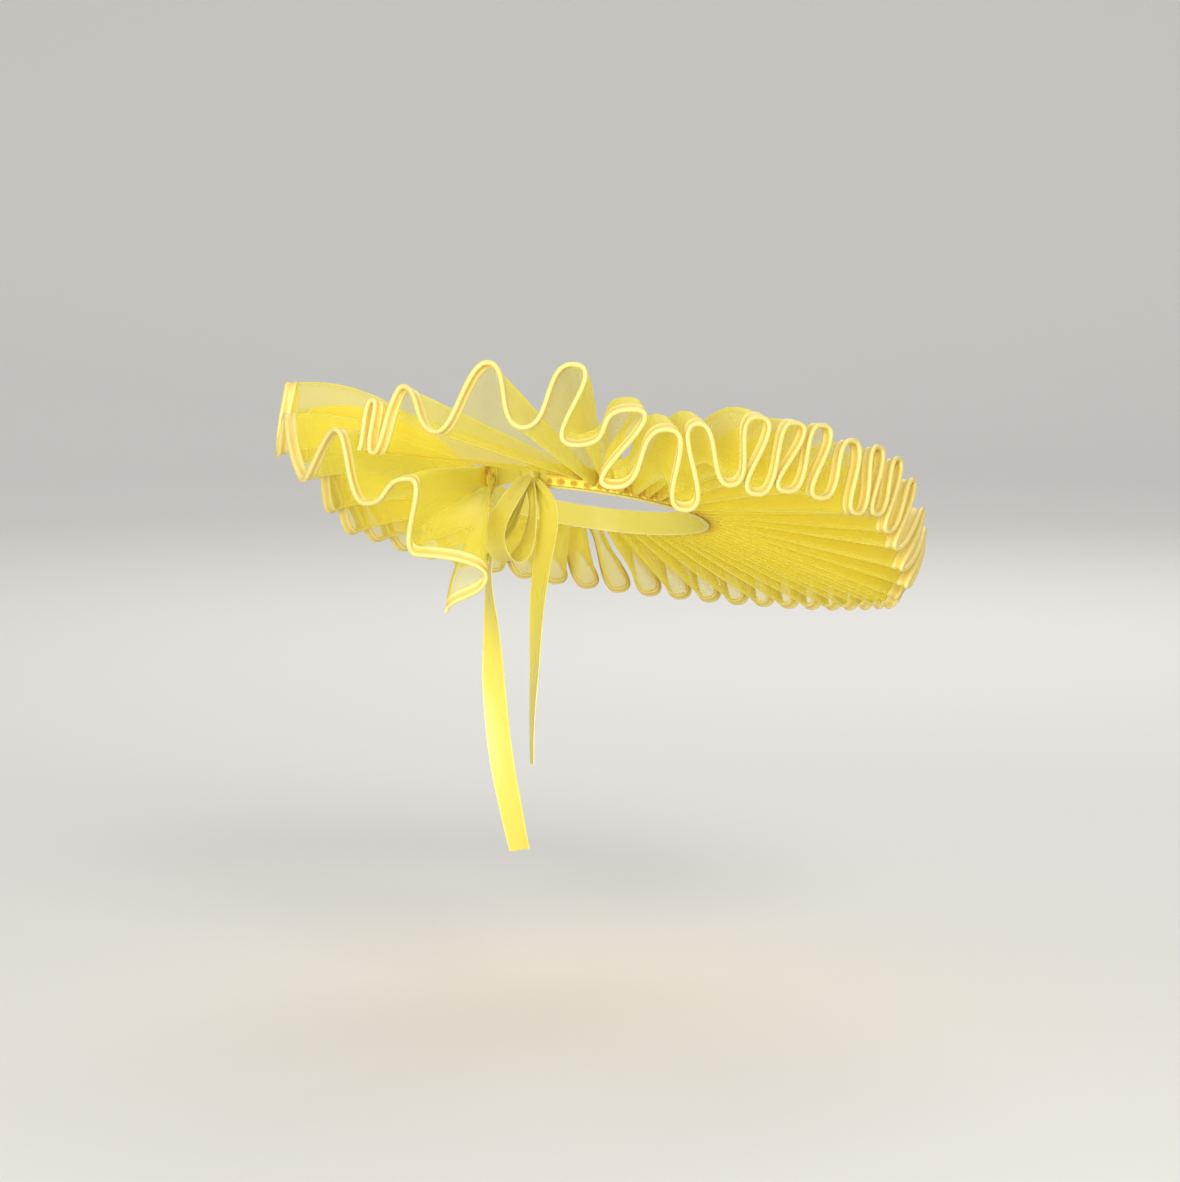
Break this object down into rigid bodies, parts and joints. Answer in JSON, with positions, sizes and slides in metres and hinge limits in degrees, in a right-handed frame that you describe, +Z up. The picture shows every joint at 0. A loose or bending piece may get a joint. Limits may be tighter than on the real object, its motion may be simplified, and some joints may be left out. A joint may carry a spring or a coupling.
{
  "type": "ruff collar",
  "caption": "Worn ruff collar of pleated sheer organza with a satin-bound wavy rim, open behind and tied with a ribbon bow.",
  "frame": {"origin": "middle of the ring where the neckband's lower edge lies round the wearer's neck", "axes": "+Z up along the wearer, -Y the way the wearer faces, -X to the wearer's right"},
  "size_m": [0.4358, 0.421, 0.3148],
  "materials": {
    "organza": "sheer, crisp",
    "binding_satin": "satin",
    "ribbon_satin": "satin"
  },
  "bodies": {
    "root": {"ruff_right_back": "organza", "ruff_right_front": "organza", "ruff_left_front": "organza", "ruff_left_back": "organza", "binding_right_back": "binding_satin", "binding_right_front": "binding_satin", "binding_left_front": "binding_satin", "binding_left_back": "binding_satin", "neckband": "ribbon_satin", "tie_left": "ribbon_satin", "bow_knot": "ribbon_satin", "bow_loop_right": "ribbon_satin", "bow_loop_left": "ribbon_satin", "tail_short": "ribbon_satin", "tail_long": "ribbon_satin"}
  },
  "joints": []
}
